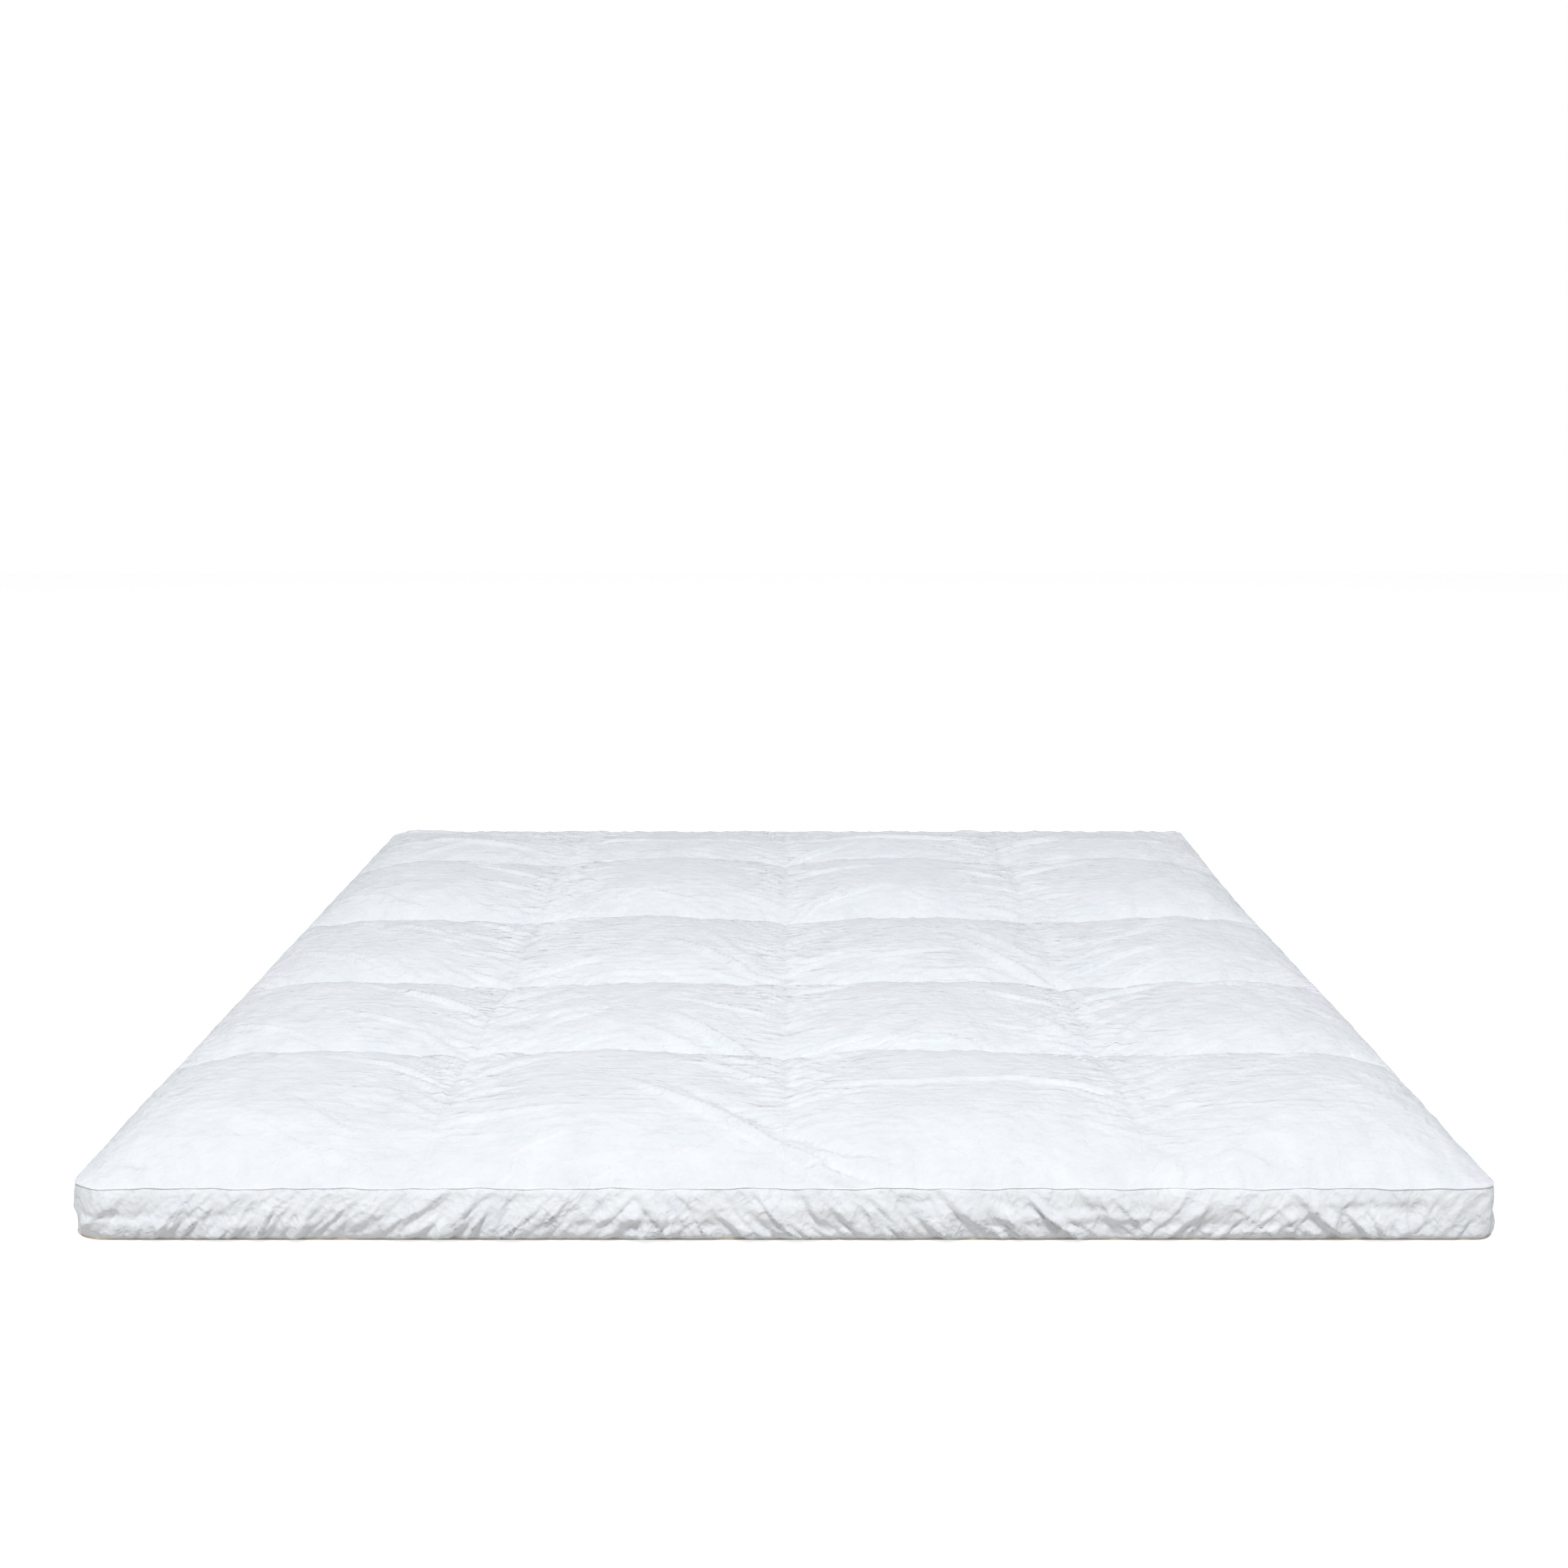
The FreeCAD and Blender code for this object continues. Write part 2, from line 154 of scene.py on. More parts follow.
def in_plan(x, y):
    """Squeezes a rectangle's corners to their plan radius and adds the flare on the right."""
    x, y = x.copy(), y.copy()
    for (sx, sy), radius in CORNER.items():
        a = (x * sx - (half_width - radius)) / radius
        b = (y * sy - (half_length - radius)) / radius
        here = (a > 0) & (b > 0)
        a, b = np.clip(a, 0, 1), np.clip(b, 0, 1)
        ra, rb = a * np.sqrt(1 - b * b / 2), b * np.sqrt(1 - a * a / 2)
        x = np.where(here, sx * (half_width - radius + radius * ra), x)
        y = np.where(here, sy * (half_length - radius + radius * rb), y)
    return x + flare(x, y), y


def to_seam(at, seams):
    """How far each place is from the nearest of the seams."""
    return np.min([np.abs(at - seam) for seam in seams], axis=0)


x, y = in_plan(x, y)
z = z + edge_wave(x, y)
z = z + drift(rng, u, v, 0.11, 0.0025) * np.exp(-to_seam(y, rows[1:-1]) / 0.05) * inner
to_column = to_seam(x, columns[1:-1])
z = z + drift(rng, u, v, 0.07, 0.0018) * np.exp(-to_column / 0.025) * inner

# Spare cloth, as a share of the length: most of it runs along the bed beside the column seams and the
# side edges, and a little across the bed beside the row seams.
rng = np.random.default_rng(9)
to_side = half_width - np.abs(x)
to_row = to_seam(y, rows[1:])
reach = 0.13 * (1 + drift(rng, u, v, 0.25, 0.6))
spare_y = 0.10 * np.exp(-to_column / reach) + 0.07 * np.exp(-to_side / 0.07) + 0.012
spare_y = spare_y * (1 + drift(rng, u, v, 0.15, 0.35))
spare_x = (0.035 * np.exp(-to_row / 0.035) + 0.006) * (1 + drift(rng, u, v, 0.15, 0.5))
front = np.clip(v / 0.45, 0, 1)
spare_y, spare_x = spare_y * (0.15 + 0.85 * front), spare_x * (0.3 + 0.7 * front)  # less at the foot end
spare_x = spare_x + 0.05 * np.exp(-(y + half_length) / 0.03)  # the front edge is eased into its seam
# The gathers slant: from each column seam they run out towards the head end.
slant = 0.4 + drift(rng, u, v, 0.3, 0.3)
nearest = columns[1:-1][np.argmin([np.abs(x - c) for c in columns[1:-1]], axis=0)]
turned = spare_y * slant / (1 + slant**2)
spare_xy = drift(rng, u, v, 0.3, 0.008) - np.sign(x - nearest) * turned
spare_x, spare_y = spare_x + turned * slant, spare_y / (1 + slant**2)

# Folds that the cloth has kept: from and to, in metres, then height and width in millimetres. A fold
# with a negative height is a dent.
FOLDS = [
    ((-0.21, -0.76), (0.12, -1.03), 8, 13), ((-0.17, -0.75), (0.14, -1.01), -8, 18),
    ((-0.79, -0.93), (-0.745, -0.985), 4, 8), ((-0.785, -0.965), (-0.76, -0.99), 4, 7),
    ((0.0, -0.955), (0.11, -0.993), -8, 9), ((0.03, -0.94), (0.13, -0.985), 6, 12),
    ((-0.75, -0.97), (-0.70, -0.99), 4, 8), ((-0.68, -0.95), (-0.655, -0.99), 3, 8),
    ((0.04, -0.777), (0.30, -0.768), 5, 13), ((0.26, -0.762), (0.42, -0.80), 6, 13),
    ((0.25, 0.0), (0.39, -0.185), 7, 14), ((0.30, 0.03), (0.405, -0.12), 6, 13),
    ((-0.13, 0.03), (-0.01, -0.18), 6, 13), ((-0.20, -0.02), (-0.03, -0.17), 4, 12),
    ((-0.16, -0.44), (-0.02, -0.575), 7, 14), ((-0.20, -0.48), (-0.05, -0.58), 5, 12),
    ((0.52, -0.42), (0.42, -0.56), 5, 13), ((0.33, -0.40), (0.40, -0.52), 5, 13),
    ((0.60, -0.68), (0.785, -0.90), 5, 14), ((0.70, -0.70), (0.79, -0.80), 4, 12),
    ((0.64, -0.25), (0.79, -0.42), 5, 13), ((0.60, -0.78), (0.76, -0.97), 3, 16),
    ((-0.66, -0.68), (-0.785, -0.86), 4, 13), ((-0.10, -0.70), (0.02, -0.78), 3, 12),
    ((0.41, -0.93), (0.45, -0.99), 4, 10), ((0.50, -0.94), (0.56, -0.99), 4, 10),
    ((-0.36, -0.86), (-0.40, -0.97), 3, 12), ((-0.72, 0.66), (-0.50, 0.86), 5, 16),
    ((-0.70, 0.78), (-0.47, 0.70), 4, 14), ((-0.60, 0.93), (-0.44, 0.80), 4, 14),
]
form = np.stack([x, y, z])
spare = [spare_x, spare_y, spare_xy]
fold_height = np.zeros_like(x)
for (x0, y0), (x1, y1), height, width in FOLDS:
    length = math.hypot(x1 - x0, y1 - y0)
    run = np.array([x1 - x0, y1 - y0]) / length
    s = (x - x0) * run[0] + (y - y0) * run[1]
    t = (y - y0) * run[0] - (x - x0) * run[1] + 0.08 * s * (length - s) / length
    taper = np.clip(np.sin(np.pi * np.clip(s / length, 0, 1)) * 1.6, 0, 1)
    band = taper * np.exp(-((np.abs(t) / (width / 2000)) ** 1.3))
    fold_height += band * height / 1000
    share = band * (height / width) ** 2 * 0.5
    for axis, part in enumerate((run[1] ** 2, run[0] ** 2, -run[0] * run[1])):
        spare[axis] = spare[axis] + share * part


def puckers(seam, side, over, beside, wavelength, reach, slant, rng):
    """Small waves that start at a seam on one side of it and run out from it, at a slant."""
    line = np.linspace(-1, 1, 1200) * (np.ptp(over) / 2) + (over.max() + over.min()) / 2
    step = line[1] - line[0]

    def wander(knots, low, high):
        return along(line, np.linspace(line[0], line[-1], knots), rng.uniform(low, high, knots))

    phase = np.cumsum(2 * np.pi / (wavelength * wander(50, 0.6, 1.4))) * step
    away = (beside - seam) * side
    height = np.interp(over, line, wander(90, 0.1, 1))
    far = reach * np.interp(over, line, wander(70, 0.3, 1.8))
    fan = over - np.maximum(away, 0) * np.interp(over, line, wander(31, *slant))
    wave = np.minimum(away / 0.012, 1) * np.exp(-away / far) * (away < 0.4)
    return height * np.where(away > 0, wave, 0) * np.sin(np.interp(fan, line, phase))


rng = np.random.default_rng(11)
# The column seams aren't held in the last hand's width before the foot end, where they fade out.
held = on_seam & ~((v > 0) & (v < 0.22) & (from_side > 0))
form[2] += 0.7 * fold_height * ~held
start = form.copy()
start[2] += 0.3 * fold_height
COLUMN_PUCKER, FOOT_PUCKER, ROW_PUCKER = 0.0024, 0.0009, 0.0014  # heights of the waves at each kind of seam
for seam in columns:
    for side in (-1, 1):
        if abs(seam + side * 0.01) < half_width:
            start[2] += COLUMN_PUCKER * puckers(seam, side, y, x, 0.024, 0.14, (0.1, 0.8), rng)
for n, seam in enumerate(rows):
    height = FOOT_PUCKER if n == 0 else ROW_PUCKER
    for side in (-1, 1):
        if abs(seam + side * 0.01) < half_length:
            start[2] += height * puckers(seam, side, x, y, 0.022, 0.03, (-0.4, 0.4), rng)
start[2] += rng.normal(0, 0.0001, u.shape)
start = np.where(held, form, start)


def ties(shape, down, right):
    """Pairs of nodes that are (down, right) apart, in batches where no node comes twice."""
    tall, wide = shape
    period = 2 * down if down else 2 * right
    left = max(0, -right)
    for first in range(period):
        r, rs = (first, period) if down else (0, 1)
        c, cs = (0, 1) if down else (first, period)
        yield (
            (slice(r, tall - down, rs), slice(c + left, wide - max(0, right), cs)),
            (slice(r + down, tall, rs), slice(c + left + right, wide + min(0, right), cs)),
        )


single = np.float32
STEPS, SWEEPS = 80, 8
BEND = single(0.06)  # how hard the cloth resists a sharp bend, where a thread's own hold is 1
PUSH, LIFT, SAG = 0.3, 0.0006, 0.0002  # the fill's push, and the most it moves the cloth up or down a step


def settle(start, form, spare, held):
    """Lets a net of cloth settle: its threads keep the length that form and spare give them, its held
    nodes stay, and the fill pushes the rest back towards form."""
    free = (~held).astype(single)
    threads = []
    thread_kinds = (
        (0, 1, 1.0, False), (1, 0, 1.0, False), (1, 1, 0.35, False), (1, -1, 0.35, False),
        (0, 2, BEND, True), (2, 0, BEND, True),
    )
    every = (slice(None),)
    for down, right, hold, push_only in thread_kinds:
        for a, b in ties(held.shape, down, right):
            gap = form[every + b] - form[every + a]
            length = np.sqrt((gap**2).sum(0))
            way = gap / length
            sx, sy, sxy = ((part[a] + part[b]) / 2 for part in spare)
            rest = length * (1 + way[0] ** 2 * sx + way[1] ** 2 * sy + 2 * way[0] * way[1] * sxy)
            weight = np.maximum(free[a] + free[b], 1)
            pull_a, pull_b = hold * free[a] / weight, hold * free[b] / weight
            threads.append((every + a, every + b, rest.astype(single), pull_a, pull_b, push_only))
    cloth, before, level = start.astype(single), start.astype(single), form[2].astype(single)
    for _ in range(STEPS):
        across, up = np.gradient(cloth, axis=2), np.gradient(cloth, axis=1)
        normal = np.cross(across, up, axis=0)
        normal /= np.sqrt((normal**2).sum(0)) + 1e-12
        speed = (cloth - before) * single(0.9)
        before = cloth.copy()
        cloth = cloth + (speed + normal * np.clip((level - cloth[2]) * PUSH, -SAG, LIFT)) * free
        for _ in range(SWEEPS):
            for a, b, rest, pull_a, pull_b, push_only in threads:
                gap = cloth[b] - cloth[a]
                length = np.sqrt((gap**2).sum(0))
                stretch = (length - rest) / length
                move = gap * (np.minimum(stretch, 0) if push_only else stretch)
                cloth[a] += move * pull_a
                cloth[b] -= move * pull_b
    return cloth.astype(float)


panel = settle(start, form, spare, held)
# What stands above TALL is pressed down to a part of it, to stay in the room over the frame's panel.
TALL, PRESSED = 0.111, 0.6
panel[2] = np.where(panel[2] > TALL, TALL + PRESSED * (panel[2] - TALL), panel[2])


def linear(hex_colour):
    """A node colour from an sRGB hex value."""
    channels = [int(hex_colour[i:i + 2], 16) / 255 for i in (0, 2, 4)]
    return (*[c / 12.92 if c <= 0.04045 else ((c + 0.055) / 1.055) ** 2.4 for c in channels], 1)


def add(tree, kind, inputs=(), **settings):
    """Adds a node, sets its settings, and fills its inputs with values or with other nodes' outputs."""
    node = tree.nodes.new(kind)
    for name, value in settings.items():
        setattr(node, name, value)
    for socket, value in dict(inputs).items():
        if isinstance(value, bpy.types.NodeSocket):
            tree.links.new(value, node.inputs[socket])
        else:
            node.inputs[socket].default_value = value
    return node


def empty_tree(owner):
    """The node tree of a new material or world, with nothing in it."""
    owner.use_nodes = True
    owner.node_tree.nodes.clear()
    return owner.node_tree


def band_scale(pitch):
    """The Wave Texture scale that gives one band every pitch metres."""
    return math.pi / 10 / pitch


def cambric(name, warp, weft, shade="F3F6F9", deep="E6EBF1", gathered=False, crumpled=0.0014):
    """Down-proof cotton cambric, woven tight and calendered: white and matt, with a low soft sheen along
    the folds, a fine crisp crinkle, and faint mottling where feathers lie behind it."""
    material = bpy.data.materials.new(name)
    tree = empty_tree(material)
    place = add(tree, "ShaderNodeTexCoord").outputs["Object"]
    # Thread spacing is 0.25 mm; that is too fine to show, so the weave is drawn at 1.2 mm.
    weave = [
        add(tree, "ShaderNodeTexWave", {"Vector": place, "Scale": band_scale(0.0012), "Distortion": 0.4},
            bands_direction=axis).outputs["Fac"]
        for axis in (warp, weft)
    ]
    weave = add(tree, "ShaderNodeMath", {0: weave[0], 1: weave[1]}, operation="MULTIPLY").outputs[0]
    # Crisp creases between facets 30 mm wide and smaller, and softer lumps of feathers at about 18 mm.
    wander = add(tree, "ShaderNodeTexNoise",
                 {"Vector": place, "Scale": 1 / 0.05, "Detail": 3}).outputs["Color"]
    bent = add(tree, "ShaderNodeVectorMath", {0: wander, 1: (0.04, 0.04, 0.04), 2: place},
               operation="MULTIPLY_ADD").outputs[0]
    crease = add(tree, "ShaderNodeTexVoronoi",
                 {"Vector": bent, "Scale": 1 / 0.03, "Detail": 2, "Roughness": 0.6}).outputs["Distance"]
    quill = add(tree, "ShaderNodeTexNoise",
                {"Vector": place, "Scale": 1 / 0.018, "Detail": 3, "Roughness": 0.5}).outputs["Fac"]
    mottle = add(tree, "ShaderNodeTexNoise",
                 {"Vector": place, "Scale": 1 / 0.05, "Detail": 4, "Roughness": 0.6}).outputs["Fac"]
    tone = add(tree, "ShaderNodeMapRange", {"Value": mottle, "From Min": 0.3, "From Max": 0.7,
                                            "To Min": 0.35, "To Max": 1.0}).outputs[0]
    colour = add(tree, "ShaderNodeMix", {0: tone, 6: linear(deep), 7: linear(shade)},
                 data_type="RGBA").outputs[2]
    rough = add(tree, "ShaderNodeMapRange", {"Value": quill, "To Min": 0.68, "To Max": 0.82}).outputs[0]
    bumps = [(quill, 0.0018, 0.9), (crease, crumpled, 0.9), (weave, 0.0001, 0.3)]
    if gathered:
        # Fine gathers run out from the column seams, about 12 mm apart and 120 mm long.
        streak = add(tree, "ShaderNodeMapping",
                     {"Vector": place, "Scale": (1 / 0.12, 1 / 0.012, 1 / 0.03)}).outputs[0]
        gather = add(tree, "ShaderNodeTexNoise",
                     {"Vector": streak, "Scale": 1.0, "Detail": 3, "Roughness": 0.5, "Distortion": 0.5},
                     noise_type="RIDGED_MULTIFRACTAL").outputs["Fac"]
        slack = add(tree, "ShaderNodeAttribute", attribute_name="slack").outputs["Fac"]
        gather = add(tree, "ShaderNodeMath", {0: gather, 1: slack}, operation="MULTIPLY").outputs[0]
        bumps.insert(0, (gather, 0.0034, 1.0))
    relief = None
    for height, depth, strength in bumps:
        inputs = {"Height": height, "Distance": depth, "Strength": strength}
        if relief:
            inputs["Normal"] = relief
        relief = add(tree, "ShaderNodeBump", inputs).outputs[0]
    cloth = add(tree, "ShaderNodeBsdfPrincipled",
                {"Base Color": colour, "Roughness": rough, "Normal": relief, "IOR": 1.5,
                 "Specular IOR Level": 0.35, "Sheen Weight": 0.12, "Sheen Roughness": 0.45})
    add(tree, "ShaderNodeOutputMaterial", {"Surface": cloth.outputs[0]})
    return material


def plain_mesh(name, points, faces, material):
    """A smooth piece in one material, from its points and faces."""
    mesh = bpy.data.meshes.new(name)
    mesh.from_pydata(points, [], faces)
    mesh.polygons.foreach_set("use_smooth", [True] * len(mesh.polygons))
    mesh.materials.append(material)
    mesh.update()
    piece = bpy.data.objects.new(name, mesh)
    bpy.context.scene.collection.objects.link(piece)
    return piece


def point_list(net):
    """The points of a net shaped (3, rows, columns), row after row."""
    return net.reshape(3, -1).T.tolist()


def net_faces(index):
    """The faces between the neighbouring nodes of a net, from the nodes' numbers."""
    return np.stack([index[:-1, :-1], index[:-1, 1:], index[1:, 1:], index[1:, :-1]], -1).reshape(-1, 4)


def net_mesh(name, net, material):
    """A smooth piece over a net of points."""
    index = np.arange(net[0].size).reshape(net[0].shape)
    return plain_mesh(name, point_list(net), net_faces(index).tolist(), material)


top_cloth = cambric("cambric_of_top_panel", "X", "Y", gathered=True, crumpled=0.0015)
top = net_mesh("quilted_top_panel", panel, top_cloth)
slack = top.data.attributes.new("slack", "FLOAT", "POINT")
slack.data.foreach_set("value", np.clip(0.15 * front + spare_y / 0.09, 0, 1).astype(np.float32).ravel())
chambers = [(r, c) for r in range(1, 6) for c in range(1, 5)]
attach(top, "root")
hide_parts("top_panel")

# ---- Quilting stitches ------------------------------------------------------------------------------
# White cotton lockstitch, sewn through the panel into the top edge of each baffle, 4 mm a stitch.
# Each stitch dips into its needle holes and lies proud of the cloth between them.

STITCH, THREAD = 0.004, 0.0002  # length of a stitch, radius of its thread
ARCH, SUNK = 0.0006, 0.0002  # how far a stitch rises, and how deep it starts in its needle hole
RINGS, AROUND = 6, 4  # points along a stitch and around it


def seam_line(net, steps):
    """Points spread evenly along a line of the net, and the way it runs."""
    far = np.concatenate([[0], np.cumsum(np.sqrt((np.diff(net, axis=1) ** 2).sum(0)))])
    at = np.linspace(0, far[-1], steps)
    points = np.stack([np.interp(at, far, part) for part in net])
    way = np.gradient(points, axis=1)
    return points, way / np.sqrt((way**2).sum(0))


def stitches(lines):
    """One mesh of short arched threads along every line."""
    points, faces = [], []
    for line in lines:
        length = np.sqrt((np.diff(line, axis=1) ** 2).sum(0)).sum()
        count = int(length / STITCH)
        path, way = seam_line(line, count * RINGS + 1)
        across = np.cross(way, np.array([[0], [0], [1.0]]), axis=0)
        across /= np.sqrt((across**2).sum(0)) + 1e-9
        up = np.cross(across, way, axis=0)
        for n in range(count):
            at = np.arange(n * RINGS, (n + 1) * RINGS)
            arch = np.sin(np.pi * np.arange(RINGS) / (RINGS - 1)) * ARCH - SUNK
            edges = []
            for turn in np.linspace(0, 2 * np.pi, AROUND + 1)[:-1]:
                side = math.cos(turn) * THREAD * across[:, at] + math.sin(turn) * THREAD * up[:, at]
                edges.append(path[:, at] + up[:, at] * arch + side)
            base = len(points)
            points.extend(np.stack(edges, -1).transpose(1, 2, 0).reshape(-1, 3).tolist())
            for k in range(RINGS - 1):
                for q in range(AROUND):
                    a, b = base + k * AROUND + q, base + k * AROUND + (q + 1) % AROUND
                    faces.append((a, b, b + AROUND, a + AROUND))
            last = base + (RINGS - 1) * AROUND
            faces.append(tuple(base + q for q in reversed(range(AROUND))))
            faces.append(tuple(last + q for q in range(AROUND)))
    return points, faces


def spun_cotton(name, shade, deep, pitch):
    """Spun cotton yarn: matt, with a fine twist that shows as slanted light and dark lines."""
    material = bpy.data.materials.new(name)
    tree = empty_tree(material)
    place = add(tree, "ShaderNodeTexCoord").outputs["Object"]
    twist = add(tree, "ShaderNodeTexWave", {"Vector": place, "Scale": band_scale(pitch), "Distortion": 0.6},
                bands_direction="DIAGONAL").outputs["Fac"]
    colour = add(tree, "ShaderNodeMix", {0: twist, 6: linear(deep), 7: linear(shade)},
                 data_type="RGBA").outputs[2]
    relief = add(tree, "ShaderNodeBump", {"Height": twist, "Distance": 0.0002, "Strength": 0.5}).outputs[0]
    yarn = add(tree, "ShaderNodeBsdfPrincipled",
               {"Base Color": colour, "Roughness": 0.8, "Normal": relief, "IOR": 1.5,
                "Specular IOR Level": 0.3, "Sheen Weight": 0.1})
    add(tree, "ShaderNodeOutputMaterial", {"Surface": yarn.outputs[0]})
    return material


thread_cotton = spun_cotton("spun_cotton_of_quilting_thread", "F6F7F8", "DDE1E6", 0.0008)
# Each line of stitches starts and stops a few mesh cells short of the seams that it meets.
lines = [panel[:, 8:-3, ACROSS * n] for n in (1, 2, 3)]
lines += [panel[:, ALONG * r, ACROSS * c + 2:ACROSS * (c + 1) - 1] for r in range(1, 5) for c in range(4)]
thread = plain_mesh("quilting_stitches", *stitches(lines), thread_cotton)
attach(thread, "root")
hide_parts("quilting_thread")

# ---- Gussets ----------------------------------------------------------------------------------------
# The boxed edge: a strip of the same cambric on each side, joined to its neighbours in the corners and
# sewn to both panels. It is cut taller and longer than its seams, so it bulges and crumples.

seam_bottom, seam_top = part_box("gusset_front")[0].z + TICKING, edge_height
SIDES = {  # the way each side runs, its outward way, and which corners end it
    "front": ((1, 0), (0, -1), (-1, -1), (1, -1)),
    "right": ((0, 1), (1, 0), (1, -1), (1, 1)),
    "back": ((-1, 0), (0, 1), (1, 1), (-1, 1)),
    "left": ((0, -1), (-1, 0), (-1, 1), (-1, -1)),
}


def side_path(side, share):
    """Plan points and outward ways along one side, from the middle of one corner to the middle of the
    next, where share runs from 0 to 1; and the side's length."""
    run, out, first, last = SIDES[side]
    half, reach = (half_width, half_length) if run[1] == 0 else (half_length, half_width)
    start_radius, end_radius = CORNER[first], CORNER[last]
    arcs = math.pi / 4 * start_radius, math.pi / 4 * end_radius
    straight = 2 * half - start_radius - end_radius
    length = straight + sum(arcs)
    s = share * length
    a = np.clip((arcs[0] - s) / start_radius, 0, None)
    b = np.clip((s - arcs[0] - straight) / end_radius, 0, None)
    t = np.clip(s - arcs[0], 0, straight) + start_radius - half
    t = t - start_radius * np.sin(a) + end_radius * np.sin(b)
    n = reach - start_radius * (1 - np.cos(a)) - end_radius * (1 - np.cos(b))
    turn = b - a
    run, out = np.array(run)[:, None], np.array(out)[:, None]
    place = run * t.ravel() + out * n.ravel()
    facing = run * np.sin(turn.ravel()) + out * np.cos(turn.ravel())
    place[0] += flare(*place)
    return place.reshape(2, *share.shape), facing.reshape(2, *share.shape), length


def crisp_folds(rng, metres, rise, lean, every, tall, wide):
    """The highest of many slanting ridges, one every so many metres and up to so tall and wide, sharp
    along the top and between neighbours, as stiff cloth crumples. Most start at the lower seam."""
    t = (rise - seam_bottom) / (seam_top - seam_bottom)
    height = np.zeros_like(metres)
    for foot in np.arange(0, metres.max(), every):
        foot += rng.uniform(-1, 1) * every
        way = np.interp(foot, metres[0], lean[0]) + rng.uniform(-0.6, 0.6)
        slant = math.copysign(rng.uniform(0.4, 1.4), way)
        off = (metres - foot - slant * (rise - seam_bottom)) / math.hypot(1, slant)
        off += drift(rng, metres, rise, 0.05, 0.004)
        breadth, steep = wide * rng.uniform(0.5, 1.4), rng.uniform(0.08, 0.5)
        flank = np.abs(np.where(off * way < 0, off, off / steep)) / breadth
        level = 1 - t if rng.random() < 0.25 else t
        fade = np.clip((rng.uniform(0.35, 1.2) - level) / 0.4, 0, 1) * np.clip(level / 0.06, 0, 1)
        height = np.maximum(height, tall * rng.uniform(0.35, 1) * (1 - flank) * fade)
    return height


GUSSET_CELL = 0.0026
end_cloth = cambric("cambric_of_end_gussets", "X", "Z", crumpled=0.0032)
side_cloth = cambric("cambric_of_side_gussets", "Y", "Z", crumpled=0.0032)
gusset_cloths = {"front": end_cloth, "right": side_cloth, "back": end_cloth, "left": side_cloth}
# Which way the creases lean along each side, seen from outside: 1 to the right as they rise, -1 to the
# left.
LEAN = {
    "front": (0.6, 1, 1, 0.9, 0.2, -1, -1, -1, 0.9, -0.6, 1),
    "right": (1, -0.4, 1, -1, 0.5, 1, -1, 0.8, -1, 1, -0.5),
    "back": (-1, 1, 0.6, -1, -0.8, 1, 1, -0.6, -1, 0.5, 1),
    "left": (0.5, -1, 1, 1, -0.7, -1, 1, -1, 0.6, 1, -1),
}
FULLNESS = {"front": 1.0, "right": 0.5, "back": 1.0, "left": 0.5}  # how strongly each side crumples
CREASES = ((0.024, 0.012, 0.028), (0.010, 0.005, 0.014), (0.004, 0.0026, 0.008))  # every, tall and wide
for number, side in enumerate(SIDES):
    _, _, length = side_path(side, np.zeros((1, 1)))
    wide, tall = int(length / GUSSET_CELL), int((seam_top - seam_bottom) / GUSSET_CELL)
    s, t = np.meshgrid(np.linspace(0, 1, wide + 1), np.linspace(0, 1, tall + 1))
    rng = np.random.default_rng(100 + number)
    metres = s * length
    rise = seam_bottom + (seam_top - seam_bottom) * t
    to_corner = np.minimum(metres, length - metres)
    loose = np.sin(np.pi * t) * np.clip(to_corner / 0.02, 0, 1)
    ends = np.clip(to_corner / 0.16, 0, 1)
    bulge = (0.002 + 0.004 * ends) * np.sin(np.pi * t**1.25) ** (0.5 + 0.2 * ends)
    bulge += (drift(rng, metres, t, 0.16, 0.0025) + drift(rng, metres, rise, 0.02, 0.0008)) * loose
    lean = along(s, np.linspace(0, 1, 11), LEAN[side])
    folds = sum(crisp_folds(rng, metres, rise, lean, *sizes) for sizes in CREASES)
    bulge += folds * (1.35 - 0.8 * t) * loose**0.3 * (0.6 + 0.4 * ends) * FULLNESS[side]
    place, facing, _ = side_path(side, s)
    top_seam = rise + edge_wave(*place) * t
    net = np.stack([place[0] + facing[0] * bulge, place[1] + facing[1] * bulge, top_seam])
    piece = net_mesh(f"{side}_gusset", net, gusset_cloths[side])
    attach(piece, "root")
    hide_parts(f"gusset_{side}")

# ---- Pipings and their cords ------------------------------------------------------------------------
# A bias strip of cotton folded round a 2 mm cord and sewn into each edge seam, all the way round the
# bed. The one in the upper seam is white, with a painted highlight; the lower one is drawn beige, and
# shows under the foot end as a warm line.

ALONG_SIDE, AROUND_PIPING = 480, 10  # mesh cells along each side of the bed and round the piping
CORD_SHARE = 0.66  # the cord's part of the piping's thickness


